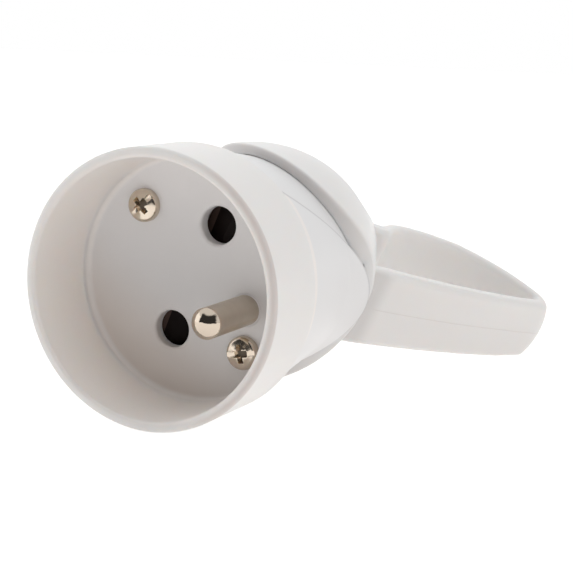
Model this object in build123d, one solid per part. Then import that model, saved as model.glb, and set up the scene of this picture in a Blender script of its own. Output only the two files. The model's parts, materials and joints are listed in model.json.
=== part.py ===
from build123d import *
from math import asin, atan2, degrees, hypot, radians, tan
import os

# A two-pole and earth trailing socket with a pull ring, in millimetres.
# Plug axes: X towards the earth pin and the ring, Y from the mouth to the tail, Z along the contact line.
# The origin is the centre of the socket face, and a station is a distance behind it.

# Socket pattern, fixed by the mating plug
contact_spacing = 19.0
contact_hole_radius = 3.0
mating_pin_radius = 2.4
earth_pin_offset = 10.0
earth_pin_radius = 2.4
earth_pin_length = 14.0
earth_tip_rounding = 1.6

# Cup, face and neck of the front housing
well_depth = 15.0
well_floor_radius = 19.6
well_draft = 0.2
rim_wall = 1.65
cup_draft = 0.05
cup_rear = -1.1
rim_rounding = 0.6
cup_edge_rounding = 0.4
well_corner_rounding = 0.8
face_thickness = 2.2
hole_lip_rounding = 0.5
neck_step = 0.9
neck_taper_deg = 7.0
neck_end = 23.0
neck_end_wall = 0.65

# Tongues that run back from the cup on the two sides of the neck
tongue_rise = 0.25
tongue_taper_deg = 6.5
tongue_apex = 30.0
tongue_half_width = 19.9
flare_drop = 0.5
flare_pivot = 60.0
flare_tilt_deg = 2.5

# Rear cover: scalloped collar, tapering body and cord nozzle
collar_front = 13.2
collar_apex = 30.6
collar_apex_drop = 1.8
collar_shoulder = 13.0
collar_lip_rounding = 0.9
body_middle = 20.0
body_end = 31.0
body_end_drop = 2.0
nozzle_end = 58.0
nozzle_end_drop = 12.6
nozzle_rounding = 1.5
nozzle_wall = 2.5
cover_wall = 1.5
seat_length = 2.0
cord_hole_radius = 4.5
shell_clearance = 0.1

# Pull ring, a flat band bent to a rounded triangle in the plane of the earth pin
# The points are offsets in reach and station from the collar's apex.
ring_thickness = 2.8
ring_root_half_width = 7.35
ring_taper_deg = 3.9
ring_edge_rounding = 1.1
ring_near_root = (-2.4, -3.5)
ring_near_middle = (10.6, 17.3)
ring_near_end = (21.1, 38.8)
ring_bow_end = (17.6, 45.0)
ring_far_end = (-10.0, 31.9)
ring_tail = (-11.2, 23.9)
ring_root_back = (-16.0, 19.0)
ring_root_front = (-9.0, -3.0)

# Housing screws that pass the face and draw the cover's posts forward
screw_across = 12.8
screw_along = -6.1
screw_radius = 1.75
screw_tip = 24.0
screw_head_radius = 2.7
screw_head_height = 1.7
screw_head_crown = 0.9
recess_width = 0.9
recess_reach = 1.7
recess_depth = 0.9
slot_depth = 0.5
post_radius = 2.6
post_end = 34.0

# Shutter behind the face, turning on a boss, with its return spring
shutter_gap = 0.3
shutter_thickness = 2.0
shutter_half_width = 3.6
shutter_hub_radius = 4.2
shutter_collar_radius = 3.0
shutter_ramp_depth = 1.5
shutter_crest = 0.6
pivot_radius = 2.0
pivot_clearance = 0.05
spring_wire_radius = 0.25
spring_gap = 0.12
spring_turns = 2.25
spring_leg = 5.0

# Contact carrier, contacts and terminals
carrier_front = 6.4
carrier_thickness = 2.2
carrier_gap = 0.3
carrier_rib_width = 2.5
carrier_rib_depth = 1.9
carrier_rib_angles = (45, 135, 225, 315)
pin_passage_gap = 0.5
sleeve_wall = 0.95
sleeve_slot = 1.0
sleeve_root = 3.0
chamber_gap = 0.55
chamber_wall = 1.2
chamber_end = 18.0
clip_start = 10.5
clip_length = 2.5
clip_thickness = 0.4
clip_opening = 1.6
terminal_width = 7.0
terminal_length = 8.0
wire_hole_radius = 1.6
wire_hole_depth = 6.5
small_screw_radius = 1.4
small_head_radius = 2.3
small_head_height = 1.6
small_slot_width = 0.7
small_slot_depth = 0.7
partition_thickness = 1.6
partition_reach = 15.0
partition_end = 24.0
hub_post_radius = 3.0
slip_clearance = 0.03
thread_clearance = 0.05
screw_clearance = 0.15

# Earth terminal behind the pin
earth_seat_radius = 2.7
earth_flange_radius = 3.4
earth_flange_thickness = 1.4
earth_block_width = 6.0
earth_block_centre = 9.2
earth_block_length = 9.0
earth_clip_radius = 4.2
earth_clip_thickness = 0.7

# Retainer plate that closes the carrier from behind
retainer_radius = 14.5
retainer_thickness = 1.6
retainer_wire_hole = 2.2
retainer_notch_gap = 0.3
retainer_screw_length = 9.0

# Cord clamp inside the tail
clamp_station = 39.0
clamp_width = 7.0
clamp_bore_radius = 4.2
clamp_thickness = 2.0
clamp_foot_reach = 11.4
clamp_screw_offset = 8.9
clamp_post_radius = 2.4
clamp_screw_length = 9.0
saddle_width = 8.0



def neck_radius(station):
    """Outer radius of the tapering neck."""
    return neck_front_radius - (station - cup_rear) * tan(radians(neck_taper_deg))


def tongue_radius(station):
    """Outer radius of a tongue's panel."""
    return neck_front_radius + tongue_rise - (station - cup_rear) * tan(radians(tongue_taper_deg))


well_mouth_radius = well_floor_radius + well_draft
cup_rim_radius = well_mouth_radius + rim_wall
cup_radius = cup_rim_radius + cup_draft
neck_front_radius = cup_radius - neck_step
cavity_radius = neck_radius(neck_end) - neck_end_wall
carrier_radius = cavity_radius - carrier_gap
flare_radius = neck_front_radius - flare_drop
collar_front_radius = neck_radius(collar_front) + shell_clearance + cover_wall
collar_apex_radius = collar_front_radius - collar_apex_drop
body_end_radius = collar_front_radius - body_end_drop
nozzle_end_radius = collar_front_radius - nozzle_end_drop
carrier_back = carrier_front + carrier_thickness
contact_half = contact_spacing / 2
sleeve_bore = mating_pin_radius + slip_clearance
sleeve_radius = sleeve_bore + sleeve_wall
shutter_front = face_thickness + shutter_gap
shutter_back = shutter_front + shutter_thickness
terminal_back = chamber_end + terminal_length
retainer_back = terminal_back + retainer_thickness
earth_block_back = carrier_back + earth_flange_thickness + earth_block_length
screw_places = ((screw_across, screw_along), (-screw_across, -screw_along))
cut_over = 1.0
far_off = 60.0


def rod(radius, start, end, x=0.0, z=0.0):
    """Round bar along the plug axis between two stations."""
    return Pos(x, (start + end) / 2, z) * Rot(90, 0, 0) * Cylinder(radius, end - start)


def bar(x_size, start, end, z_size, x=0.0, z=0.0):
    """Rectangular bar between two stations."""
    return Pos(x, (start + end) / 2, z) * Box(x_size, end - start, z_size)


def turned(*points):
    """Solid of revolution about the plug axis from (radius, station) corners."""
    return revolve(make_face(Polyline(*points, close=True)), Axis.Y)


def both_sides(solid):
    """A solid and its copy turned half a turn about the plug axis."""
    return solid + Rot(0, 180, 0) * solid


def open_ring(inner, outer, start, end, opening, x=0.0, z=0.0):
    """Spring ring with a gap on the side away from the plug axis."""
    ring = rod(outer, start, end) - rod(inner, start - cut_over, end + cut_over)
    ring -= bar(opening, start - cut_over, end + cut_over, outer, z=outer)
    turn = degrees(atan2(x, z))
    return Pos(x, 0, z) * Rot(0, turn, 0) * ring


def pan_screw(shank_radius, length, head_radius, head_height, crown):
    """Round-headed screw along +Z, with the underside of its head at the origin."""
    head = Pos(0, 0, -head_height / 2) * Cylinder(head_radius, head_height)
    rim = head.edges().group_by(Axis.Z)[0]
    return fillet(rim, crown) + Pos(0, 0, length / 2) * Cylinder(shank_radius, length)


def slotted_screw(length):
    """Terminal screw along +Z with a plain driving slot."""
    screw = pan_screw(small_screw_radius, length, small_head_radius, small_head_height, small_head_height / 3)
    slot = Box(2 * small_head_radius, small_slot_width, 2 * small_slot_depth)
    return screw - Pos(0, 0, -small_head_height) * slot


def tongue_outline(margin):
    """Prism of the tongue's arched outline on the earth side, grown by a margin."""
    half = tongue_half_width + margin
    apex = tongue_apex + margin
    arch = Bezier((cup_rear, -half), (2 * apex - cup_rear, 0), (cup_rear, half))
    face = make_face(arch + Line(arch @ 1, arch @ 0))
    return extrude(Plane.YZ * face, far_off / 2)


def tongue():
    """Tapering panel whose end flares out again to meet the collar."""
    panel = turned(
        (0, cup_rear),
        (tongue_radius(cup_rear), cup_rear),
        (tongue_radius(tongue_apex), tongue_apex),
        (0, tongue_apex),
    )
    flare = Pos(0, flare_pivot, 0) * Rot(0, 0, -flare_tilt_deg) * rod(flare_radius, -flare_pivot, 0)
    return (panel + flare) & tongue_outline(0)


def turned_housing():
    """Cup, socket face and neck as one turned form."""
    profile = make_face(Polyline(
        (0, 0),
        (well_floor_radius, 0),
        (well_mouth_radius, -well_depth),
        (cup_rim_radius, -well_depth),
        (cup_radius, cup_rear),
        (neck_front_radius, cup_rear),
        (neck_radius(neck_end), neck_end),
        (0, neck_end),
        close=True,
    ))
    roundings = (
        ((well_floor_radius, 0), well_corner_rounding),
        ((well_mouth_radius, -well_depth), rim_rounding),
        ((cup_rim_radius, -well_depth), rim_rounding),
        ((cup_radius, cup_rear), cup_edge_rounding),
    )
    for (radius, station), rounding in roundings:
        corner = profile.vertices().sort_by_distance((radius, station, 0))[0]
        profile = fillet(corner, rounding)
    return revolve(profile, Axis.Y)


def make_socket_cup():
    """Round wall of the well, in front of the socket face."""
    return turned_housing() & rod(far_off, -far_off, cup_rear)


def make_front_housing():
    """Socket face, neck and tongues behind the cup."""
    tongues = both_sides(tongue()) - rod(well_mouth_radius, -far_off, face_thickness / 2)
    housing = (turned_housing() & rod(far_off, cup_rear, far_off)) + tongues
    housing -= rod(cavity_radius, face_thickness, far_off)
    housing += rod(pivot_radius, face_thickness, carrier_front)
    rib_middle = cavity_radius + cut_over / 2 - carrier_rib_depth / 2
    rib = bar(carrier_rib_depth + cut_over, face_thickness, carrier_front, carrier_rib_width, x=rib_middle)
    for angle in carrier_rib_angles:
        housing += Rot(0, angle, 0) * rib
    for side in (1, -1):
        housing -= rod(contact_hole_radius, -cut_over, face_thickness + cut_over, z=side * contact_half)
    lips = housing.edges().filter_by(GeomType.CIRCLE).filter_by(
        lambda edge: abs(edge.radius - contact_hole_radius) < 1e-6 and abs(edge.center().Y) < 1e-6
    )
    housing = fillet(lips, hole_lip_rounding)
    housing -= rod(earth_seat_radius + slip_clearance, -cut_over, carrier_front, x=earth_pin_offset)
    for x, z in screw_places:
        housing -= rod(screw_radius + screw_clearance, -cut_over, carrier_front, x, z)
    return housing


def collar_cut():
    """Prism in front of the collar's scalloped edge, seen along the contact line."""
    reach = collar_apex_radius
    left = Bezier((-reach, collar_apex), (-collar_shoulder, collar_front), (0, collar_front))
    right = Bezier((0, collar_front), (collar_shoulder, collar_front), (reach, collar_apex))
    outline = left + right + Polyline(
        (reach, collar_apex),
        (far_off, collar_apex),
        (far_off, -far_off),
        (-far_off, -far_off),
        (-far_off, collar_apex),
        (-reach, collar_apex),
    )
    return extrude(make_face(outline), far_off, both=True)


def ring_half_width(reach):
    """Half the band's width at a distance from the plug axis."""
    return ring_root_half_width - (reach - collar_apex_radius) * tan(radians(ring_taper_deg))


def ring_point(shift):
    """Place of a ring point in reach and station."""
    return (collar_apex_radius + shift[0], collar_apex + shift[1])


def ring_band():
    """Rounded-triangle band, narrower towards the bow, with rounded edges."""
    near = ThreePointArc(ring_point(ring_near_root), ring_point(ring_near_middle), ring_point(ring_near_end))
    bow = TangentArc(near @ 1, ring_point(ring_bow_end), tangent=near % 1)
    far = TangentArc(bow @ 1, ring_point(ring_far_end), tangent=bow % 1)
    tail = TangentArc(far @ 1, ring_point(ring_tail), tangent=far % 1)
    root = Polyline(tail @ 1, ring_point(ring_root_back), ring_point(ring_root_front), near @ 0)
    outside = make_face(near + bow + far + tail + root)
    inside = offset(outside, -ring_thickness)
    band = extrude(outside - inside, far_off, both=True)
    taper = make_face(Polyline(
        (0, -ring_root_half_width),
        (collar_apex_radius, -ring_root_half_width),
        (far_off, -ring_half_width(far_off)),
        (far_off, ring_half_width(far_off)),
        (collar_apex_radius, ring_root_half_width),
        (0, ring_root_half_width),
        close=True,
    ))
    band &= Pos(0, 2 * far_off, 0) * extrude(Plane.XZ * taper, 4 * far_off)
    edges = band.edges().filter_by(
        lambda edge: abs(edge.center().Z) > ring_edge_rounding and edge.geom_type != GeomType.LINE
    )
    return fillet(edges, ring_edge_rounding)


def cover_form(inset, end_inset):
    """Solid form of the tapering cover, drawn in by a wall and an end wall."""
    collar = Line((collar_front_radius - inset, collar_front), (collar_front_radius - inset, body_middle))
    shoulder = TangentArc(collar @ 1, (body_end_radius - inset, body_end), tangent=collar % 1)
    end = nozzle_end - end_inset
    rest = Polyline(
        shoulder @ 1,
        (nozzle_end_radius - inset, end),
        (0, end),
        (0, collar_front),
        collar @ 0,
    )
    return make_face(collar + shoulder + rest)


def lies_on_lip(edge):
    """Whether an edge is part of the collar's outer front edge."""
    middle = edge @ 0.5
    ahead = middle.Y < collar_apex and middle.Z > cut_over
    return ahead and hypot(middle.X, middle.Z) > collar_front_radius - cover_wall / 2


def make_rear_cover(band):
    """Collar, tapering body, cord nozzle and pull ring in one moulding."""
    profile = cover_form(0, 0)
    corner = profile.vertices().sort_by_distance((nozzle_end_radius, nozzle_end, 0))[0]
    outside = revolve(fillet(corner, nozzle_rounding), Axis.Y)
    seat_start = neck_end + shell_clearance
    seat_end = seat_start + seat_length
    lining = turned(
        (neck_radius(collar_front) + shell_clearance, collar_front),
        (collar_front_radius, collar_front),
        (collar_front_radius, seat_end),
        (cavity_radius, seat_end),
        (cavity_radius, seat_start),
        (neck_radius(neck_end) + shell_clearance, seat_start),
    )
    hollow = revolve(cover_form(cover_wall, nozzle_wall), Axis.Y) - lining
    front = collar_cut()
    half = (outside - hollow - front) & bar(2 * far_off, 0, far_off, far_off, z=far_off / 2)
    half = fillet(half.edges().filter_by(lies_on_lip), collar_lip_rounding)
    shell = both_sides(half)
    cover = shell + (band - hollow - front)
    pocket_floor = cavity_radius - shell_clearance
    cover -= both_sides(tongue_outline(shell_clearance)) - rod(pocket_floor, -far_off, far_off)
    beyond = rod(far_off, collar_front, nozzle_end) - outside
    foot_height = -clamp_thickness
    for x, z in screw_places:
        cover += rod(post_radius, carrier_back, post_end, x, z) - beyond
    for side in (1, -1):
        length = collar_front_radius + foot_height
        post = Pos(side * clamp_screw_offset, clamp_station, foot_height - length / 2)
        cover += post * Cylinder(clamp_post_radius, length) & outside
    saddle_start = clamp_station - clamp_width / 2
    saddle_end = clamp_station + clamp_width / 2
    saddle_depth = collar_front_radius - clamp_thickness
    saddle = bar(saddle_width, saddle_start, saddle_end, saddle_depth, z=-clamp_thickness - saddle_depth / 2)
    cover += (saddle & outside) - rod(clamp_bore_radius, saddle_start - cut_over, saddle_end + cut_over)
    cover -= rod(cord_hole_radius, body_end, nozzle_end + cut_over)
    for x, z in screw_places:
        cover -= rod(screw_radius + thread_clearance, carrier_back - cut_over, screw_tip + cut_over, x, z)
    for side in (1, -1):
        depth = clamp_screw_length + cut_over
        pilot = Pos(side * clamp_screw_offset, clamp_station, -depth / 2)
        cover -= pilot * Cylinder(small_screw_radius + thread_clearance, depth)
    return cover


def make_housing_screw(x, z):
    """Long screw with a raised head and a combined slot and cross recess."""
    screw = pan_screw(screw_radius, screw_tip, screw_head_radius, screw_head_height, screw_head_crown)
    top = Pos(0, 0, -screw_head_height)
    for turn in (0, 90):
        screw -= top * Rot(0, 0, turn) * Box(2 * recess_reach, recess_width, 2 * recess_depth)
    screw -= top * Box(2 * screw_head_radius, recess_width, 2 * slot_depth)
    return Pos(x, 0, z) * Rot(-90, 0, 0) * screw


def make_shutter():
    """Two blades that close the contact holes, each with a ramp for the entering pin."""
    reach = contact_half + shutter_half_width
    blade = bar(2 * shutter_half_width, shutter_front, shutter_back, contact_half, z=contact_half / 2)
    blade += rod(shutter_half_width, shutter_front, shutter_back, z=contact_half)
    edge = -shutter_half_width - cut_over
    slope = shutter_ramp_depth / (shutter_crest + shutter_half_width)
    wedge = make_face(Polyline(
        (shutter_crest, shutter_front),
        (edge, shutter_front),
        (edge, shutter_front + slope * (shutter_crest - edge)),
        close=True,
    ))
    blade -= Pos(0, 0, shutter_hub_radius) * extrude(wedge, reach)
    shutter = both_sides(blade) + rod(shutter_hub_radius, shutter_front, shutter_back)
    shutter += rod(shutter_collar_radius, shutter_back, carrier_front - spring_gap)
    return shutter - rod(pivot_radius + pivot_clearance, 0, far_off)


def make_shutter_spring():
    """Coiled return spring round the shutter's collar, with two straight legs."""
    radius = shutter_collar_radius + spring_gap + spring_wire_radius
    start = shutter_back + spring_gap + spring_wire_radius
    height = carrier_front - spring_gap - spring_wire_radius - start
    coil = Helix(height / spring_turns, height, radius)
    wire = sweep(Plane(coil @ 0, z_dir=coil % 0) * Circle(spring_wire_radius), coil)
    first_leg = Pos(radius, -spring_leg / 2, 0) * Rot(90, 0, 0) * Cylinder(spring_wire_radius, spring_leg)
    last_leg = Pos(-spring_leg / 2, radius, height) * Rot(0, 90, 0) * Cylinder(spring_wire_radius, spring_leg)
    return Pos(0, start, 0) * Rot(-90, 0, 0) * (wire + first_leg + last_leg)


def make_contact_carrier():
    """Insulating plate with a chamber for each contact and a post for the retainer."""
    chamber = sleeve_radius + chamber_gap
    carrier = rod(carrier_radius, carrier_front, carrier_back)
    carrier += rod(hub_post_radius, carrier_back, terminal_back)
    carrier += bar(
        partition_reach, carrier_back, partition_end, partition_thickness, x=-partition_reach / 2,
    )
    for side in (1, -1):
        z = side * contact_half
        carrier += rod(chamber + chamber_wall, carrier_back, chamber_end, z=z)
        carrier -= rod(chamber, carrier_back, chamber_end + cut_over, z=z)
        carrier -= rod(mating_pin_radius + pin_passage_gap, 0, far_off, z=z)
    carrier -= rod(earth_seat_radius + slip_clearance, 0, far_off, x=earth_pin_offset)
    for x, z in screw_places:
        carrier -= rod(screw_radius + screw_clearance, 0, far_off, x, z)
    pilot_start = retainer_back - retainer_screw_length - cut_over
    return carrier - rod(small_screw_radius + thread_clearance, pilot_start, far_off)


def make_line_contact():
    """Slotted brass sleeve with a terminal block behind it."""
    z = contact_half
    contact = rod(sleeve_radius, carrier_back, chamber_end, z=z)
    contact += bar(terminal_width, chamber_end, terminal_back, terminal_width, z=z)
    contact -= rod(sleeve_bore, carrier_back - cut_over, chamber_end, z=z)
    contact -= bar(far_off, carrier_back - cut_over, chamber_end - sleeve_root, sleeve_slot, z=z)
    contact -= rod(wire_hole_radius, terminal_back - wire_hole_depth, far_off, z=z)
    length = terminal_width / 2 + cut_over
    hole = Pos(0, terminal_back - wire_hole_depth / 2, z + length / 2)
    return contact - hole * Cylinder(small_screw_radius + thread_clearance, length)


def make_line_terminal_screw():
    """Wire screw of the line contact, entering from the outside."""
    screw = slotted_screw(terminal_width / 2)
    return Pos(0, terminal_back - wire_hole_depth / 2, contact_half + terminal_width / 2) * Rot(180, 0, 0) * screw


def make_line_contact_clip():
    """Spring ring that closes the slotted sleeve on the pin."""
    inner = sleeve_radius + slip_clearance
    clip_end = clip_start + clip_length
    return open_ring(inner, inner + clip_thickness, clip_start, clip_end, clip_opening, z=contact_half)


def make_earth_pin():
    """Earth pin with its retaining flange and terminal block."""
    pin = rod(earth_pin_radius, -earth_pin_length, carrier_back)
    pin = Pos(earth_pin_offset, 0, 0) * fillet(pin.edges().group_by(Axis.Y)[0], earth_tip_rounding)
    pin += rod(earth_seat_radius, 0, carrier_back, x=earth_pin_offset)
    flange_back = carrier_back + earth_flange_thickness
    pin += rod(earth_flange_radius, carrier_back, flange_back, x=earth_pin_offset)
    pin += bar(earth_block_width, flange_back, earth_block_back, earth_block_width, x=earth_block_centre)
    pin -= rod(wire_hole_radius, earth_block_back - wire_hole_depth, far_off, x=earth_block_centre)
    length = earth_block_width / 2 + cut_over
    hole = Pos(earth_block_centre + length / 2, earth_block_back - wire_hole_depth / 2, 0) * Rot(0, 90, 0)
    return pin - hole * Cylinder(small_screw_radius + thread_clearance, length)


def make_earth_terminal_screw():
    """Wire screw of the earth terminal."""
    screw = slotted_screw(earth_block_width / 2)
    x = earth_block_centre + earth_block_width / 2
    return Pos(x, earth_block_back - wire_hole_depth / 2, 0) * Rot(0, -90, 0) * screw


def make_earth_clip():
    """Ring on the earth pin that bears on the front of the carrier."""
    inner = earth_seat_radius + slip_clearance
    start = carrier_front - earth_clip_thickness
    return open_ring(inner, earth_clip_radius, start, carrier_front, clip_opening, x=earth_pin_offset)


def make_retainer_plate():
    """Plate that holds the contacts in their chambers."""
    plate = rod(retainer_radius, terminal_back, retainer_back)
    for side in (1, -1):
        plate -= rod(retainer_wire_hole, 0, far_off, z=side * contact_half)
    plate -= rod(retainer_wire_hole, 0, far_off, x=earth_block_centre)
    for x, z in screw_places:
        plate -= rod(post_radius + retainer_notch_gap, 0, far_off, x, z)
    return plate - rod(small_screw_radius + screw_clearance, 0, far_off)


def make_retainer_screw():
    """Screw that fastens the retainer plate to the carrier's post."""
    return Pos(0, retainer_back, 0) * Rot(90, 0, 0) * slotted_screw(retainer_screw_length)


def make_cord_clamp():
    """Strap that grips the cord against the cover's saddle."""
    start = clamp_station - clamp_width / 2
    end = clamp_station + clamp_width / 2
    outer = clamp_bore_radius + clamp_thickness
    strap = rod(outer, start, end) & bar(2 * outer, start, end, outer, z=outer / 2)
    feet = bar(2 * clamp_foot_reach, start, end, clamp_thickness, z=-clamp_thickness / 2)
    clamp = strap + feet - rod(clamp_bore_radius, start - cut_over, end + cut_over)
    for side in (1, -1):
        hole = Pos(side * clamp_screw_offset, clamp_station, 0)
        clamp -= hole * Cylinder(small_screw_radius + screw_clearance, far_off)
    return clamp


def make_cord_clamp_screw(side):
    """Screw that pulls the strap down on its post."""
    return Pos(side * clamp_screw_offset, clamp_station, 0) * Rot(180, 0, 0) * slotted_screw(clamp_screw_length)


band = ring_band()
line_contact = make_line_contact()
line_screw = make_line_terminal_screw()
line_clip = make_line_contact_clip()
half_turn = Rot(0, 180, 0)
parts = {
    "socket_cup": make_socket_cup(),
    "front_housing": make_front_housing(),
    "rear_cover": make_rear_cover(band),
    "contact_carrier": make_contact_carrier(),
    "retainer_plate": make_retainer_plate(),
    "retainer_screw": make_retainer_screw(),
    "line_contact": line_contact,
    "neutral_contact": half_turn * line_contact,
    "line_contact_clip": line_clip,
    "neutral_contact_clip": half_turn * line_clip,
    "line_terminal_screw": line_screw,
    "neutral_terminal_screw": half_turn * line_screw,
    "earth_pin": make_earth_pin(),
    "earth_clip": make_earth_clip(),
    "earth_terminal_screw": make_earth_terminal_screw(),
    "shutter": make_shutter(),
    "shutter_spring": make_shutter_spring(),
    "housing_screw_lower": make_housing_screw(*screw_places[0]),
    "housing_screw_upper": make_housing_screw(*screw_places[1]),
    "cord_clamp": make_cord_clamp(),
    "cord_clamp_screw_left": make_cord_clamp_screw(-1),
    "cord_clamp_screw_right": make_cord_clamp_screw(1),
}

# The socket lies on its cup and on the bow of its ring, rolled about the plug axis.
bow_reach = band.bounding_box().max.X
bow_x = bow_reach - ring_edge_rounding
bow_z = ring_half_width(bow_reach) - ring_edge_rounding
rest_roll = degrees(asin((cup_radius - ring_edge_rounding) / hypot(bow_x, bow_z)) - atan2(bow_z, bow_x))

os.makedirs("parts", exist_ok=True)
for name, solid in parts.items():
    export_step(Rot(0, rest_roll, 0) * solid, f"parts/{name}.step")
print("rest roll", rest_roll)
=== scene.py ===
import bpy
import bmesh
import json
from math import atan2, cos, hypot, pi, radians, sin
from mathutils import Matrix, Vector


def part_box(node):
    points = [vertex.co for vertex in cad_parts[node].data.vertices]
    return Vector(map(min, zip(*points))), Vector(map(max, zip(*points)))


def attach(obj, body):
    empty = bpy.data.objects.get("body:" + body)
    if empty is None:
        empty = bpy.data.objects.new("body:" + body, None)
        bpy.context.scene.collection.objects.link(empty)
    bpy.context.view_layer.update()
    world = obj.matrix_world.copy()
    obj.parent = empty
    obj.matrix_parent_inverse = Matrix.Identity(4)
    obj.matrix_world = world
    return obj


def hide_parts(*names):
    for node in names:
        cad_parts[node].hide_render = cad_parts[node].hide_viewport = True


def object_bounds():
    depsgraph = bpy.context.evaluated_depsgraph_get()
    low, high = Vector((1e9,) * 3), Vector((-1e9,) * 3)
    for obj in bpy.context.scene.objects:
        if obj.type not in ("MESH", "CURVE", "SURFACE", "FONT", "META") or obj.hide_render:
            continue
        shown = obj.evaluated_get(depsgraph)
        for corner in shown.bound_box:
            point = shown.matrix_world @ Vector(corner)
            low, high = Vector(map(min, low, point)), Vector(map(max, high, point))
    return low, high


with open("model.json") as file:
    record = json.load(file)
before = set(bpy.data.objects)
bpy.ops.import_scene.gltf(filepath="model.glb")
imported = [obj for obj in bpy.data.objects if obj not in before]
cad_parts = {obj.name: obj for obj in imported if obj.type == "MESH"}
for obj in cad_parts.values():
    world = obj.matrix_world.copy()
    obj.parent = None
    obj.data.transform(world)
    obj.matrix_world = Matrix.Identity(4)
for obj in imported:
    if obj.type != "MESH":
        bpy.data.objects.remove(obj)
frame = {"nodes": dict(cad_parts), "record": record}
cad_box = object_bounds()
nodes = frame["nodes"]

# Socket cup: the round wall of the well, injection moulded in white plastic.
# Its inside is tinted warmer as painted bounce light from the wall, and thin flash stays along the rim's
# outer edge.
# The outer band of the rim is a little darker on its right side, as painted shade.
CUP_LIGHT = (0.930, 0.920, 0.908, 1)
CUP_SHADE = (0.905, 0.895, 0.883, 1)
CUP_GLOSS = 0.40
GLOSS_DRIFT = 0.06
GRAIN_STRENGTH = 0.5
SCATTER_WEIGHT = 0.6
SCATTER_RADIUS = (1.0, 0.85, 0.75)
SCATTER_SCALE = 0.0014
WELL_WALL_PAINTED_BOUNCE = (0.945, 0.900, 0.875, 1)
WELL_RADIUS = 0.0200
WELL_SOFTNESS = 0.0008
WELL_END_PAINTED_LIGHT = (0.990, 0.960, 0.940, 1)
WELL_END_LENGTH = 0.0016
RIM_PAINTED_SHADE = (0.745, 0.685, 0.660, 1)
RIM_ROUNDING = 0.0006
RIM_FRONT_SOFTNESS = (0.0001, 0.0003)
RIM_BAND_START = 0.0203
RIM_BAND_SOFTNESS = 0.0006
PAINTED_SHADE_SIDE = (0.004, 0.015)
PAINTED_SHADE_SHARE = 0.75
FLASH_HALF_WIDTH = 0.00005
FLASH_FADE = 0.0003
FLASH_HEIGHT = 0.00008
CRUMB_SCALE = 16000
CRUMB_RANGE = (0.60, 0.66)
cup_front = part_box("socket_cup")[0].y
cup_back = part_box("socket_cup")[1].y
rim_edge = cup_front + RIM_ROUNDING


def grain_group():
    """Fine tool grain and slow cloudiness of a moulded surface, as a height and a tone."""
    tree = bpy.data.node_groups.new("moulded grain", "ShaderNodeTree")
    for name in ("Grain Scale", "Cloud Scale"):
        tree.interface.new_socket(name=name, in_out="INPUT", socket_type="NodeSocketFloat")
    for name in ("Height", "Tone"):
        tree.interface.new_socket(name=name, in_out="OUTPUT", socket_type="NodeSocketFloat")
    enter = tree.nodes.new("NodeGroupInput")
    leave = tree.nodes.new("NodeGroupOutput")
    place = tree.nodes.new("ShaderNodeTexCoord")
    for source, target in (("Grain Scale", "Height"), ("Cloud Scale", "Tone")):
        noise = tree.nodes.new("ShaderNodeTexNoise")
        noise.inputs["Detail"].default_value = 3
        tree.links.new(place.outputs["Object"], noise.inputs["Vector"])
        tree.links.new(enter.outputs[source], noise.inputs["Scale"])
        tree.links.new(noise.outputs["Fac"], leave.inputs[target])
    return tree


moulded_grain = grain_group()


def moulded(name, light, shade, gloss, grain_scale=3500, cloud_scale=55, depth=0.000012):
    """Material of a moulded plastic with cloudy tone, grain and a set gloss."""
    made = bpy.data.materials.new(name)
    made.use_nodes = True
    tree = made.node_tree
    shader = tree.nodes["Principled BSDF"]
    grain = tree.nodes.new("ShaderNodeGroup")
    grain.node_tree = moulded_grain
    grain.inputs["Grain Scale"].default_value = grain_scale
    grain.inputs["Cloud Scale"].default_value = cloud_scale
    tint = tree.nodes.new("ShaderNodeMix")
    tint.data_type = "RGBA"
    tint.inputs["A"].default_value = light
    tint.inputs["B"].default_value = shade
    tree.links.new(grain.outputs["Tone"], tint.inputs["Factor"])
    tree.links.new(tint.outputs["Result"], shader.inputs["Base Color"])
    spread = tree.nodes.new("ShaderNodeMapRange")
    spread.name = "gloss"
    spread.inputs["To Min"].default_value = gloss - GLOSS_DRIFT
    spread.inputs["To Max"].default_value = gloss + GLOSS_DRIFT
    tree.links.new(grain.outputs["Tone"], spread.inputs["Value"])
    tree.links.new(spread.outputs["Result"], shader.inputs["Roughness"])
    bump = tree.nodes.new("ShaderNodeBump")
    bump.name = "relief"
    bump.inputs["Strength"].default_value = GRAIN_STRENGTH
    bump.inputs["Distance"].default_value = depth
    tree.links.new(grain.outputs["Height"], bump.inputs["Height"])
    tree.links.new(bump.outputs["Normal"], shader.inputs["Normal"])
    return made


def let_light_in(material):
    """Scatters light about a millimetre under the skin, as white plastic does."""
    shader = material.node_tree.nodes["Principled BSDF"]
    shader.inputs["Subsurface Weight"].default_value = SCATTER_WEIGHT
    shader.inputs["Subsurface Radius"].default_value = SCATTER_RADIUS
    shader.inputs["Subsurface Scale"].default_value = SCATTER_SCALE


def dress(material, *names):
    """Gives CAD nodes their finish."""
    for name in names:
        mesh = nodes[name].data
        mesh.materials.clear()
        mesh.materials.append(material)


def math_node(tree, operation, *values):
    """Math node whose inputs are numbers or other nodes' outputs."""
    node = tree.nodes.new("ShaderNodeMath")
    node.operation = operation
    for socket, value in zip(node.inputs, values):
        if isinstance(value, (int, float)):
            socket.default_value = value
        else:
            tree.links.new(value, socket)
    return node.outputs[0]


def overlap(tree, first, second):
    """Product of two masks, or of a mask and a share."""
    return math_node(tree, "MULTIPLY", first, second)


def opposite(tree, mask):
    """One where a mask is nought, and nought where it is one."""
    return math_node(tree, "SUBTRACT", 1, mask)


def ramp_between(tree, value, low, high):
    """Smooth mask that rises from nought at low to one at high."""
    node = tree.nodes.new("ShaderNodeMapRange")
    node.interpolation_type = "SMOOTHSTEP"
    node.inputs["From Min"].default_value = low
    node.inputs["From Max"].default_value = high
    tree.links.new(value, node.inputs["Value"])
    return node.outputs["Result"]


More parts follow.
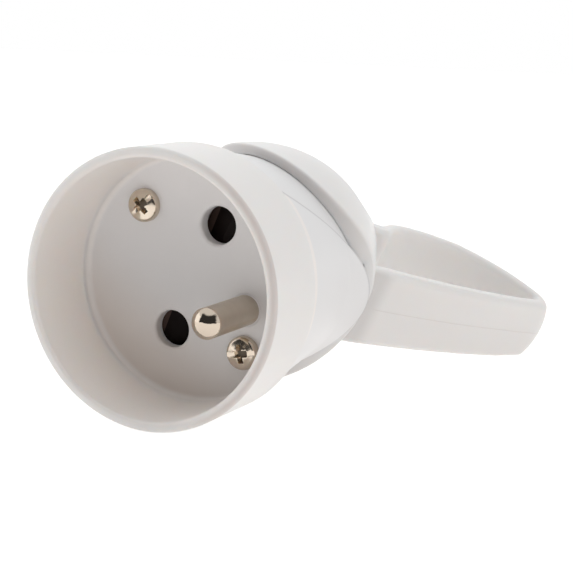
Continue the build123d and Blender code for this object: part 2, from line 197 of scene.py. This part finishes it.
def line_at(tree, value, target, half_width, fade):
    """Mask that is one within a half width of a target value and nought beyond the fade."""
    distance = math_node(tree, "ABSOLUTE", math_node(tree, "SUBTRACT", value, target))
    return opposite(tree, ramp_between(tree, distance, half_width, fade))


def object_axes(tree):
    """The three Object coordinates of a material's surface."""
    place = tree.nodes.new("ShaderNodeTexCoord")
    split = tree.nodes.new("ShaderNodeSeparateXYZ")
    tree.links.new(place.outputs["Object"], split.inputs[0])
    return split.outputs["X"], split.outputs["Y"], split.outputs["Z"]


def reach_from_axis(tree, x, z):
    """Distance of a surface point from the socket's axis."""
    squares = [math_node(tree, "MULTIPLY", side, side) for side in (x, z)]
    return math_node(tree, "SQRT", math_node(tree, "ADD", *squares))


def recolour(tree, mask, colour):
    """Lays a second colour over a material's tint where the mask is one."""
    mix = tree.nodes.new("ShaderNodeMix")
    mix.data_type = "RGBA"
    mix.inputs["B"].default_value = colour
    tree.links.new(mask, mix.inputs["Factor"])
    base = tree.nodes["Principled BSDF"].inputs["Base Color"]
    tree.links.new(base.links[0].from_socket, mix.inputs["A"])
    tree.links.new(mix.outputs["Result"], base)


def raise_relief(tree, mask, height):
    """Second bump over the grain, as high as given where the mask is one."""
    bump = tree.nodes.new("ShaderNodeBump")
    bump.inputs["Distance"].default_value = height
    tree.links.new(mask, bump.inputs["Height"])
    tree.links.new(tree.nodes["relief"].outputs["Normal"], bump.inputs["Normal"])
    tree.links.new(bump.outputs["Normal"], tree.nodes["Principled BSDF"].inputs["Normal"])


cup_plastic = moulded("cup plastic", CUP_LIGHT, CUP_SHADE, CUP_GLOSS)
let_light_in(cup_plastic)
tree = cup_plastic.node_tree
x, y, z = object_axes(tree)
reach = reach_from_axis(tree, x, z)
inside = opposite(tree, ramp_between(tree, reach, WELL_RADIUS, WELL_RADIUS + WELL_SOFTNESS))
# Painted bounce light: the well's inside takes a warmer tint.
recolour(tree, inside, WELL_WALL_PAINTED_BOUNCE)
# Painted light: a lighter, warmer tone on the wall at the deep end of the well, where it meets the face.
painted_end_light = overlap(tree, inside, ramp_between(tree, y, cup_back - WELL_END_LENGTH, cup_back))
recolour(tree, painted_end_light, WELL_END_PAINTED_LIGHT)
rim_start = rim_edge - RIM_FRONT_SOFTNESS[0]
rim_stop = rim_edge + RIM_FRONT_SOFTNESS[1]
on_rim = opposite(tree, ramp_between(tree, y, rim_start, rim_stop))
outer_half = ramp_between(tree, reach, RIM_BAND_START, RIM_BAND_START + RIM_BAND_SOFTNESS)
# Painted shade on the right side of the rim's outer band.
painted_shade_side = overlap(tree, overlap(tree, on_rim, outer_half), ramp_between(tree, x, *PAINTED_SHADE_SIDE))
recolour(tree, overlap(tree, painted_shade_side, PAINTED_SHADE_SHARE), RIM_PAINTED_SHADE)
crumbs = tree.nodes.new("ShaderNodeTexNoise")
crumbs.inputs["Scale"].default_value = CRUMB_SCALE
crumb_place = tree.nodes.new("ShaderNodeTexCoord")
tree.links.new(crumb_place.outputs["Object"], crumbs.inputs["Vector"])
along_edge = line_at(tree, y, rim_edge, FLASH_HALF_WIDTH, FLASH_FADE)
flash = overlap(tree, along_edge, ramp_between(tree, crumbs.outputs["Fac"], *CRUMB_RANGE))
raise_relief(tree, flash, FLASH_HEIGHT)
dress(cup_plastic, "socket_cup")

# Front housing: socket face, neck and two tongues behind the cup, one moulding of a slightly cooler white.
# The well's corner and the low side of the face are warmer, where light comes back from the wall.
# A fine line of shade lies along the step at each tongue's edge.
HOUSING_LIGHT = (0.900, 0.898, 0.902, 1)
HOUSING_SHADE = (0.875, 0.873, 0.877, 1)
HOUSING_GLOSS = 0.42
FACE_DEPTH = 0.0018
FACE_SOFTNESS = 0.0005
CORNER_TONE = (0.975, 0.940, 0.912, 1)
CORNER_START = 0.0187
CORNER_SOFTNESS = 0.0008
LOW_SIDE_TONE = (0.900, 0.828, 0.772, 1)
LOW_SIDE_LEFT = 0.5
LOW_SIDE_DOWN = 0.86
LOW_SIDE_RANGE = (0.002, 0.019)
STEP_TONE = (0.690, 0.680, 0.690, 1)
STEP_HALF_WIDTH = 0.0001
STEP_FADE = 0.0006
STEP_BEHIND_CUP = (0.0006, 0.0016)
TONGUE_FOOT = -0.0011
TONGUE_APEX = 0.0300
TONGUE_HALF_WIDTH = 0.0199
entries = {
    mount["name"]: mount["pos_m"]
    for mount in frame["record"]["mounts"]
    if mount["name"] in ("line_entry", "neutral_entry")
}
ROLL = atan2(entries["line_entry"][0], entries["line_entry"][2])


def weighed(tree, first, first_share, second, second_share):
    """Sum of two outputs, each times its share."""
    first_part = math_node(tree, "MULTIPLY", first, first_share)
    second_part = math_node(tree, "MULTIPLY", second, second_share)
    return math_node(tree, "ADD", first_part, second_part)


def contact_line_part(tree, x, z):
    """Distance along the line of the contacts."""
    return weighed(tree, x, sin(ROLL), z, cos(ROLL))


housing_plastic = moulded("housing plastic", HOUSING_LIGHT, HOUSING_SHADE, HOUSING_GLOSS)
tree = housing_plastic.node_tree
x, y, z = object_axes(tree)
reach = reach_from_axis(tree, x, z)
in_well = opposite(tree, ramp_between(tree, y, FACE_DEPTH - FACE_SOFTNESS, FACE_DEPTH))
low_side = weighed(tree, x, -LOW_SIDE_LEFT, z, -LOW_SIDE_DOWN)
recolour(tree, overlap(tree, in_well, ramp_between(tree, low_side, *LOW_SIDE_RANGE)), LOW_SIDE_TONE)
near_wall = ramp_between(tree, reach, CORNER_START, CORNER_START + CORNER_SOFTNESS)
recolour(tree, overlap(tree, in_well, near_wall), CORNER_TONE)
across = math_node(tree, "DIVIDE", contact_line_part(tree, x, z), TONGUE_HALF_WIDTH)
across_squared = math_node(tree, "MULTIPLY", across, across)
fall = math_node(tree, "MULTIPLY", across_squared, TONGUE_APEX - TONGUE_FOOT)
straightened = math_node(tree, "ADD", y, fall)
at_step = line_at(tree, straightened, TONGUE_APEX, STEP_HALF_WIDTH, STEP_FADE)
behind_cup = ramp_between(tree, y, *(TONGUE_FOOT + shift for shift in STEP_BEHIND_CUP))
recolour(tree, overlap(tree, at_step, behind_cup), STEP_TONE)
dress(housing_plastic, "front_housing")

# Rear cover: collar, tapering body, cord nozzle and pull ring in one moulding, closed by the long screws.
# A faint parting line runs along the middle of the ring's band, and the collar's front lip lies in shade.
# The bow of the ring is crowned across the band, so that it pulls comfortably on a finger.
COVER_LIGHT = (0.930, 0.919, 0.906, 1)
COVER_SHADE = (0.905, 0.894, 0.881, 1)
COVER_GLOSS = 0.38
LINE_TONE = (0.830, 0.805, 0.785, 1)
LINE_SHARE = 0.8
LINE_HALF_WIDTH = 0.00002
LINE_FADE = 0.00012
LINE_HEIGHT = 0.00003
RING_START = 0.0192
RING_SOFTNESS = 0.001
LIP_TONE = (0.690, 0.668, 0.660, 1)
LIP_FACING = (0.15, 0.85)
LIP_END = 0.034
LIP_SOFTNESS = 0.003
BOW_OUT = 0.883
BOW_BACK = 0.469
BOW_REACH = 0.0090
BOW_SWELL = 0.00055
BOW_FALL = 36.0
BOW_CUT_SPACING = 0.0012
BOW_CUTS_EACH_SIDE = 4
COVER_MERGE = 1e-6
across_band = Vector((sin(ROLL), 0, cos(ROLL)))
off_bow = Vector((BOW_OUT * cos(ROLL), BOW_BACK, -BOW_OUT * sin(ROLL)))
bow_end = max(vertex.co.dot(off_bow) for vertex in nodes["rear_cover"].data.vertices)


def crown(place):
    """How far a point of the bow moves outwards, and that distance's slopes outwards and across the band."""
    way = min(max((place.dot(off_bow) - bow_end) / BOW_REACH + 1, 0), 1)
    share = way * way * (3 - 2 * way)
    share_slope = 6 * way * (1 - way) / BOW_REACH
    off_middle = place.dot(across_band)
    swell = BOW_SWELL - BOW_FALL * off_middle * off_middle
    return share * swell, share_slope * swell, -2 * share * BOW_FALL * off_middle


def copy_node(name, source):
    """Copy of a CAD node's mesh as a new piece, active and selected alone."""
    bpy.ops.object.select_all(action="DESELECT")
    made = bpy.data.objects.new(name, nodes[source].data.copy())
    bpy.context.scene.collection.objects.link(made)
    bpy.context.view_layer.objects.active = made
    made.select_set(True)
    return made


def open_merged(distance):
    """Opens the active piece in edit mode and merges its doubles within a distance."""
    bpy.ops.object.mode_set(mode="EDIT")
    bpy.ops.mesh.select_all(action="SELECT")
    bpy.ops.mesh.remove_doubles(threshold=distance)


def select_faces(piece, test):
    """Selects, in edit mode, only the faces that pass a test."""
    bpy.ops.mesh.select_mode(type="FACE")
    bpy.ops.mesh.select_all(action="DESELECT")
    for face in bmesh.from_edit_mesh(piece.data).faces:
        face.select = test(face)


def on_bow(face):
    """Whether a face reaches into the part of the ring that is crowned."""
    return max(vertex.co.dot(off_bow) for vertex in face.verts) > bow_end - BOW_REACH


cover_plastic = moulded("cover plastic", COVER_LIGHT, COVER_SHADE, COVER_GLOSS)
let_light_in(cover_plastic)
tree = cover_plastic.node_tree
x, y, z = object_axes(tree)
on_middle = line_at(tree, contact_line_part(tree, x, z), 0, LINE_HALF_WIDTH, LINE_FADE)
ring_part = weighed(tree, x, cos(ROLL), z, -sin(ROLL))
on_ring = ramp_between(tree, ring_part, RING_START, RING_START + RING_SOFTNESS)
parting = overlap(tree, on_middle, on_ring)
recolour(tree, overlap(tree, parting, LINE_SHARE), LINE_TONE)
raise_relief(tree, parting, LINE_HEIGHT)
outwards = tree.nodes.new("ShaderNodeTexCoord")
facing = tree.nodes.new("ShaderNodeSeparateXYZ")
tree.links.new(outwards.outputs["Normal"], facing.inputs[0])
forwards = math_node(tree, "MULTIPLY", facing.outputs["Y"], -1)
before_body = opposite(tree, ramp_between(tree, y, LIP_END - LIP_SOFTNESS, LIP_END))
recolour(tree, overlap(tree, ramp_between(tree, forwards, *LIP_FACING), before_body), LIP_TONE)
dress(cover_plastic, "rear_cover")

cover = copy_node("rear_cover_crowned", "rear_cover")
cad_normals = cover.data.attributes.new("cad_normal", "FLOAT_VECTOR", "CORNER")
for corner, normal in zip(cad_normals.data, cover.data.corner_normals):
    corner.vector = normal.vector
open_merged(COVER_MERGE)
for step in range(-BOW_CUTS_EACH_SIDE, BOW_CUTS_EACH_SIDE + 1):
    select_faces(cover, on_bow)
    bpy.ops.mesh.bisect(plane_co=across_band * step * BOW_CUT_SPACING, plane_no=across_band)
bpy.ops.mesh.select_mode(type="VERT")
bpy.ops.object.mode_set(mode="OBJECT")
bent_normals = []
for loop, corner in zip(cover.data.loops, cover.data.attributes["cad_normal"].data):
    normal = Vector(corner.vector)
    _, slope_out, slope_across = crown(cover.data.vertices[loop.vertex_index].co)
    outward = normal.dot(off_bow)
    bent_outward = outward / (1 + slope_out)
    bent = normal + off_bow * (bent_outward - outward) - across_band * (bent_outward * slope_across)
    bent_normals.append(bent.normalized())
for vertex in cover.data.vertices:
    vertex.co += off_bow * crown(vertex.co)[0]
cover.data.attributes.remove(cover.data.attributes["cad_normal"])
cover.data.normals_split_custom_set(bent_normals)
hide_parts("rear_cover")
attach(cover, "housing")

# Contact carrier, retainer plate and cord clamp: inner mouldings in a duller off-white.
# The carrier is trapped behind the face and the plate is screwed to its back.
INNER_LIGHT = (0.62, 0.62, 0.59, 1)
INNER_SHADE = (0.56, 0.56, 0.53, 1)
INNER_GLOSS = 0.55
inner_plastic = moulded("inner insulator", INNER_LIGHT, INNER_SHADE, INNER_GLOSS)
dress(inner_plastic, "contact_carrier", "retainer_plate", "cord_clamp")

# Shutter: a dark brown moulding that turns on a boss behind the face and closes the contact holes.
# Its spring-loaded blades show only through the two holes, with a lighter strip beside their straight edge.
SHUTTER_LIGHT = (0.010, 0.0055, 0.0045, 1)
SHUTTER_SHADE = (0.006, 0.0035, 0.003, 1)
SHUTTER_GLOSS = 0.6
SHUTTER_SPECULAR = 0.12
STRIP_TONE = (0.085, 0.055, 0.046, 1)
STRIP_ASIDE = 0.93
STRIP_ABOVE = 0.36
STRIP_RANGE = (0.0021, 0.0022)
HOLE_RANGE = (0.0048, 0.0052)
shutter_plastic = moulded("dark shutter", SHUTTER_LIGHT, SHUTTER_SHADE, SHUTTER_GLOSS)
tree = shutter_plastic.node_tree
tree.nodes["Principled BSDF"].inputs["Specular IOR Level"].default_value = SHUTTER_SPECULAR
x, y, z = object_axes(tree)
for hole_x, _, hole_z in entries.values():
    aside = math_node(tree, "SUBTRACT", hole_x, x)
    above = math_node(tree, "SUBTRACT", z, hole_z)
    past_edge = ramp_between(tree, weighed(tree, aside, STRIP_ASIDE, above, STRIP_ABOVE), *STRIP_RANGE)
    near_hole = opposite(tree, ramp_between(tree, reach_from_axis(tree, aside, above), *HOLE_RANGE))
    recolour(tree, overlap(tree, near_hole, past_edge), STRIP_TONE)
dress(shutter_plastic, "shutter")

# Earth pin: nickel-plated brass, turned, with a satin barrel and a polished low dome at its tip.
# It is moulded into a white bush, pressed through the face and held by the clip behind it.
NICKEL_LIGHT = (0.66, 0.59, 0.50, 1)
NICKEL_SHADE = (0.56, 0.49, 0.41, 1)
TIP_NICKEL = (0.56, 0.485, 0.40, 1)
SATIN = 0.42
POLISH = 0.06
TIP_FADE = (0.00002, 0.00012)
DOME_HEIGHT = 0.0012
DOME_RINGS = 16
DOME_POWER = 2.2
DOME_CUT = 0.0020
PIN_MERGE = 1e-7
PIN_SMOOTH_ANGLE = radians(22)
BUSH_START = 0.00243


def plated(name, light, shade, gloss):
    """Material of a plated or rolled metal with a faint drift in tone and polish."""
    made = moulded(name, light, shade, gloss, grain_scale=2400, cloud_scale=300, depth=0.0000015)
    made.node_tree.nodes["Principled BSDF"].inputs["Metallic"].default_value = 1
    return made


pin = copy_node("earth_pin_domed", "earth_pin")
tip_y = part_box("earth_pin")[0].y
shoulder_y = tip_y + DOME_HEIGHT
cut_y = tip_y + DOME_CUT
open_merged(PIN_MERGE)
bpy.ops.mesh.select_all(action="SELECT")
bpy.ops.mesh.bisect(plane_co=(0, cut_y, 0), plane_no=(0, 1, 0), clear_inner=True)
barrel_end = [vertex.co.copy() for vertex in bmesh.from_edit_mesh(pin.data).verts if vertex.select]
centre = sum(barrel_end, Vector()) / len(barrel_end)
bpy.ops.mesh.extrude_region_move(TRANSFORM_OT_translate={"value": (0, shoulder_y - cut_y, 0)})
for step in range(1, DOME_RINGS):
    before = cos((step - 1) / DOME_RINGS * pi / 2)
    after = cos(step / DOME_RINGS * pi / 2)
    rise = DOME_HEIGHT * (before ** DOME_POWER - after ** DOME_POWER)
    bpy.ops.mesh.extrude_region_move(TRANSFORM_OT_translate={"value": (0, -rise, 0)})
    scale = after / before
    bpy.ops.transform.resize(value=(scale, 1, scale), center_override=centre)
bpy.ops.mesh.merge(type="CENTER")
bpy.ops.mesh.select_all(action="SELECT")
bpy.ops.mesh.normals_make_consistent(inside=False)
bpy.ops.object.mode_set(mode="OBJECT")
bpy.ops.object.shade_smooth_by_angle(angle=PIN_SMOOTH_ANGLE)

pin_nickel = plated("pin nickel", NICKEL_LIGHT, NICKEL_SHADE, SATIN)
tree = pin_nickel.node_tree
x, y, z = object_axes(tree)
on_tip = opposite(tree, ramp_between(tree, y, *(shoulder_y + shift for shift in TIP_FADE)))
recolour(tree, on_tip, TIP_NICKEL)
barrel_gloss = overlap(tree, tree.nodes["gloss"].outputs["Result"], opposite(tree, on_tip))
pin_gloss = math_node(tree, "ADD", barrel_gloss, overlap(tree, on_tip, POLISH))
tree.links.new(pin_gloss, tree.nodes["Principled BSDF"].inputs["Roughness"])
pin.data.materials.clear()
pin.data.materials.append(pin_nickel)
pin.data.materials.append(housing_plastic)
for face in pin.data.polygons:
    if hypot(face.center.x - centre.x, face.center.z - centre.z) > BUSH_START:
        face.material_index = 1
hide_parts("earth_pin")
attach(pin, "housing")

# Housing screws: two long nickel-plated pan-head screws that draw the cover to the housing.
# Each head has a combined slot and cross recess, struck cold, with softened edges, and the recess is
# coloured a much darker nickel as painted shade.
SCREW_LIGHT = (0.70, 0.62, 0.52, 1)
SCREW_SHADE = (0.58, 0.50, 0.41, 1)
SCREW_GLOSS = 0.16
RECESS_SHADE_PAINT_LIGHT = (0.14, 0.115, 0.09, 1)
RECESS_SHADE_PAINT_DARK = (0.08, 0.064, 0.05, 1)
RECESS_GLOSS = 0.42
HEAD_SEGMENTS = 64
HEAD_ROUNDING = 0.30
ROUNDING_SEGMENTS = 6
SHANK_SHARE = 0.65
CROWN_RISE = 0.00035
CROWN_INSET = 0.17
CROWN_STEPS = (0.75, 0.5, 0.25)
CROWN_SHARE = 0.67
CROSS_HALF_WIDTH = 0.00064
CROSS_REACH = 0.00178
CROSS_DEPTH = 0.00125
CROSS_TAPER = 0.45
SLOT_HALF_WIDTH = 0.00038
SLOT_DEPTH = 0.00055
SLOT_OVERRUN = 1.2
SOFT_EDGE = 0.00005
SOFT_ANGLE = radians(35)
RECESS_MARGIN = 1.02
RECESS_BELOW_TOP = 0.0002
FACING = 0.9
LEVEL = 0.99
LEVEL_TOLERANCE = 1e-6
FLOOR_TOLERANCE = 0.00001
screw_turns = {"housing_screw_upper": radians(44), "housing_screw_lower": radians(10)}


def cutter(name, half_length, half_width, depth, taper):
    """Straight-sided or tapering bar that sinks from above the head's top."""
    bpy.ops.object.select_all(action="DESELECT")
    bpy.ops.mesh.primitive_cube_add(size=2)
    made = bpy.context.object
    made.name = name
    made.scale = (half_length, half_width, depth)
    bpy.ops.object.transform_apply(location=False, rotation=False, scale=True)
    for vertex in made.data.vertices:
        if vertex.co.z < 0:
            vertex.co.x *= taper
            vertex.co.y *= 0.5 + taper / 2
    return made


def carve(target, tool):
    """Cuts a tool out of a piece and deletes the tool."""
    bpy.ops.object.select_all(action="DESELECT")
    bpy.context.view_layer.objects.active = target
    target.select_set(True)
    cut = target.modifiers.new("recess", "BOOLEAN")
    cut.operation = "DIFFERENCE"
    cut.solver = "EXACT"
    cut.object = tool
    bpy.ops.object.modifier_apply(modifier=cut.name)
    bpy.data.objects.remove(tool)


screw_nickel = plated("screw nickel", SCREW_LIGHT, SCREW_SHADE, SCREW_GLOSS)
# Painted shade: the recess faces take a far darker nickel than the head.
recess_painted_shade = plated("recess painted shade", RECESS_SHADE_PAINT_LIGHT, RECESS_SHADE_PAINT_DARK, RECESS_GLOSS)
for name, turn in screw_turns.items():
    low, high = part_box(name)
    head_radius = (high.x - low.x) / 2
    shank_radius = head_radius * SHANK_SHARE
    head_height = -low.y
    shank_length = high.y - low.y - head_height
    side_height = head_height - CROWN_RISE
    side_top = side_height / 2
    head_top = side_top + CROWN_RISE
    bpy.ops.object.select_all(action="DESELECT")
    bpy.ops.mesh.primitive_cylinder_add(vertices=HEAD_SEGMENTS, radius=head_radius, depth=side_height)
    screw = bpy.context.object
    screw.name = name + "_struck"
    bpy.ops.object.mode_set(mode="EDIT")
    select_faces(screw, lambda face: face.normal.z < -FACING)
    bpy.ops.mesh.inset(thickness=head_radius - shank_radius)
    bpy.ops.mesh.extrude_region_move(TRANSFORM_OT_translate={"value": (0, 0, -shank_length)})
    select_faces(screw, lambda face: face.normal.z > FACING)
    bpy.ops.mesh.bevel(
        offset=head_radius * HEAD_ROUNDING, segments=ROUNDING_SEGMENTS, profile=0.5, affect="EDGES"
    )
    lowest_top = side_top - LEVEL_TOLERANCE
    select_faces(screw, lambda face: face.normal.z > LEVEL and face.calc_center_median().z > lowest_top)
    for part in CROWN_STEPS:
        bpy.ops.mesh.inset(thickness=head_radius * CROWN_INSET)
        bpy.ops.transform.translate(value=(0, 0, CROWN_RISE * part * CROWN_SHARE))
    bpy.ops.object.mode_set(mode="OBJECT")
    tools = (
        cutter("cross along", CROSS_REACH, CROSS_HALF_WIDTH, CROSS_DEPTH, CROSS_TAPER),
        cutter("cross over", CROSS_HALF_WIDTH, CROSS_REACH, CROSS_DEPTH, CROSS_TAPER),
        cutter("slot", head_radius * SLOT_OVERRUN, SLOT_HALF_WIDTH, SLOT_DEPTH, 1),
    )
    for tool in tools:
        tool.location.z = head_top
        carve(screw, tool)
    soften = screw.modifiers.new("soft edges", "BEVEL")
    soften.width = SOFT_EDGE
    soften.segments = 2
    soften.limit_method = "ANGLE"
    soften.angle_limit = SOFT_ANGLE
    bpy.ops.object.modifier_apply(modifier=soften.name)
    bpy.ops.object.shade_smooth_by_angle(angle=SOFT_ANGLE)
    screw.data.materials.clear()
    screw.data.materials.append(screw_nickel)
    screw.data.materials.append(recess_painted_shade)
    recess_floor = head_top - CROSS_DEPTH - FLOOR_TOLERANCE
    recess_top = side_top - RECESS_BELOW_TOP
    for face in screw.data.polygons:
        in_reach = hypot(face.center.x, face.center.y) < CROSS_REACH * RECESS_MARGIN
        if in_reach and recess_floor < face.center.z < recess_top:
            face.material_index = 1
    to_top = Matrix.Translation((0, 0, -head_top))
    seat = Matrix.Translation(((low.x + high.x) / 2, low.y, (low.z + high.z) / 2))
    turned = seat @ Matrix.Rotation(-turn, 4, "Y") @ Matrix.Rotation(radians(90), 4, "X")
    screw.data.transform(turned @ to_top)
    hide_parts(name)
    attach(screw, "housing")

# Contacts: stamped brass sleeves with their terminal blocks, pushed into the carrier.
# They keep the dull yellow of rolled brass.
BRASS_LIGHT = (0.70, 0.52, 0.24, 1)
BRASS_SHADE = (0.60, 0.43, 0.18, 1)
BRASS_GLOSS = 0.3
brass = plated("stamped brass", BRASS_LIGHT, BRASS_SHADE, BRASS_GLOSS)
dress(brass, "line_contact", "neutral_contact")

# Clips, spring and small screws: zinc-plated steel.
# The clips are bent from strip, the spring from wire, and the screws are cold headed.
ZINC_LIGHT = (0.56, 0.57, 0.58, 1)
ZINC_SHADE = (0.46, 0.47, 0.49, 1)
ZINC_GLOSS = 0.35
zinc = plated("zinc plate", ZINC_LIGHT, ZINC_SHADE, ZINC_GLOSS)
dress(
    zinc,
    "line_contact_clip", "neutral_contact_clip", "earth_clip", "shutter_spring", "retainer_screw",
    "line_terminal_screw", "neutral_terminal_screw", "earth_terminal_screw",
    "cord_clamp_screw_left", "cord_clamp_screw_right",
)

# Table: a white board that the socket lies on, with its cup and the bow of its ring.
# It glows a little, and more where it is seen, so that it renders white and still takes the shadow.
TABLE_WHITE = (0.86, 0.83, 0.81, 1)
TABLE_ROUGHNESS = 0.9
TABLE_SIZE = 6
TABLE_GLOW = 0.24
TABLE_SEEN_GLOW = 0.4


def mirror_rays(tree, light_path):
    """One for rays that come by way of a reflection or through glass."""
    glossy = light_path.outputs["Is Glossy Ray"]
    return math_node(tree, "MAXIMUM", glossy, light_path.outputs["Is Transmission Ray"])


bpy.ops.object.select_all(action="DESELECT")
bpy.ops.mesh.primitive_plane_add(size=TABLE_SIZE, location=(0, 0, cad_box[0].z))
table = bpy.context.object
table.name = "table"
table_paint = bpy.data.materials.new("white table")
table_paint.use_nodes = True
tree = table_paint.node_tree
paint = tree.nodes["Principled BSDF"]
paint.inputs["Base Color"].default_value = TABLE_WHITE
paint.inputs["Roughness"].default_value = TABLE_ROUGHNESS
light_path = tree.nodes.new("ShaderNodeLightPath")
seen = math_node(tree, "MAXIMUM", light_path.outputs["Is Camera Ray"], mirror_rays(tree, light_path))
seen_glow = math_node(tree, "MULTIPLY", seen, TABLE_SEEN_GLOW)
glow = tree.nodes.new("ShaderNodeEmission")
glow.inputs["Color"].default_value = (1, 1, 1, 1)
tree.links.new(math_node(tree, "ADD", TABLE_GLOW, seen_glow), glow.inputs["Strength"])
both = tree.nodes.new("ShaderNodeAddShader")
tree.links.new(paint.outputs["BSDF"], both.inputs[0])
tree.links.new(glow.outputs["Emission"], both.inputs[1])
tree.links.new(both.outputs["Shader"], tree.nodes["Material Output"].inputs["Surface"])
table.data.materials.append(table_paint)

# Light tent: white cloth all round, brighter at the left and at the top, with a dark open door in front.
# The camera sees plain white, and reflections see white cloth with the dark door in it.
TENT_LEVEL = 1.05
TENT_FALL = 0.38
TENT_RISE = 0.10
TENT_MOST = 1.11
DOOR_LEVEL = 0.05
DOOR_LEFT = radians(-53)
DOOR_RIGHT = radians(56)
DOOR_SIDE_SOFTNESS = 0.1
DOOR_TOP = sin(radians(50))
DOOR_TOP_SOFTNESS = 0.08


def past(tree, value, edge, softness):
    """Mask that turns from nought to one across a soft edge."""
    return ramp_between(tree, value, edge - softness, edge + softness)


world = bpy.data.worlds.new("light tent")
bpy.context.scene.world = world
world.use_nodes = True
tree = world.node_tree
heading = tree.nodes.new("ShaderNodeTexCoord")
split = tree.nodes.new("ShaderNodeSeparateXYZ")
tree.links.new(heading.outputs["Generated"], split.inputs[0])
forward = math_node(tree, "MULTIPLY", split.outputs["Y"], -1)
bearing = math_node(tree, "ARCTAN2", split.outputs["X"], forward)
past_left = past(tree, bearing, DOOR_LEFT, DOOR_SIDE_SOFTNESS)
past_right = past(tree, bearing, DOOR_RIGHT, DOOR_SIDE_SOFTNESS)
over_door = past(tree, split.outputs["Z"], DOOR_TOP, DOOR_TOP_SOFTNESS)
door_width = math_node(tree, "SUBTRACT", past_left, past_right)
door = overlap(tree, door_width, opposite(tree, over_door))
slope = math_node(tree, "ADD", split.outputs["X"], split.outputs["Y"])
cloth = math_node(tree, "ADD", TENT_LEVEL, weighed(tree, slope, -TENT_FALL, split.outputs["Z"], TENT_RISE))
cloth = math_node(tree, "MINIMUM", cloth, TENT_MOST)
shade = math_node(tree, "MULTIPLY", door, math_node(tree, "SUBTRACT", cloth, DOOR_LEVEL))
level = math_node(tree, "SUBTRACT", cloth, shade)
light_path = tree.nodes.new("ShaderNodeLightPath")
mirrored_cloth = overlap(tree, mirror_rays(tree, light_path), opposite(tree, door))
seen = math_node(tree, "MAXIMUM", light_path.outputs["Is Camera Ray"], mirrored_cloth)
white = math_node(tree, "MULTIPLY", seen, opposite(tree, level))
background = tree.nodes["Background"]
background.inputs["Color"].default_value = (1, 1, 1, 1)
tree.links.new(math_node(tree, "ADD", level, white), background.inputs["Strength"])

# Studio lights: two large soft boxes, the stronger low at the left and a faint one behind.
# They draw the edge of the rim and the top of the cover out of the even light of the tent.


def softbox(name, place, aim, size, power):
    """Large square studio light turned towards a point."""
    lamp = bpy.data.lights.new(name, "AREA")
    lamp.size = size
    lamp.energy = power
    made = bpy.data.objects.new(name, lamp)
    bpy.context.scene.collection.objects.link(made)
    made.location = place
    made.rotation_euler = (Vector(aim) - Vector(place)).to_track_quat("-Z", "Y").to_euler()


softbox("left light", place=(-0.6, -0.25, 0.1), aim=(0, 0, 0), size=0.5, power=0.5)
softbox("rear light", place=(-0.3, 0.6, 0.35), aim=(0, 0.02, 0), size=0.5, power=0.15)

# Camera: fitted to the socket's own standard sizes in the photograph.
# The long lens stands low in front of the mouth, to the right.
camera_place = Vector((0.105663, -0.193276, 0.037699))
camera_right = Vector((0.90382, 0.42629, 0.03721))
camera_up = Vector((-0.10679, 0.14049, 0.98431))
camera_back = Vector((0.41438, -0.89361, 0.1725))
lens = bpy.data.cameras.new("camera")
lens.sensor_width = 36
lens.lens = 89.03
lens.clip_start = 0.01
camera = bpy.data.objects.new("camera", lens)
bpy.context.scene.collection.objects.link(camera)
camera_turn = Matrix((camera_right, camera_up, camera_back)).transposed().to_4x4()
camera.matrix_world = Matrix.Translation(camera_place) @ camera_turn
bpy.context.scene.camera = camera
bpy.context.scene.view_settings.view_transform = "Standard"
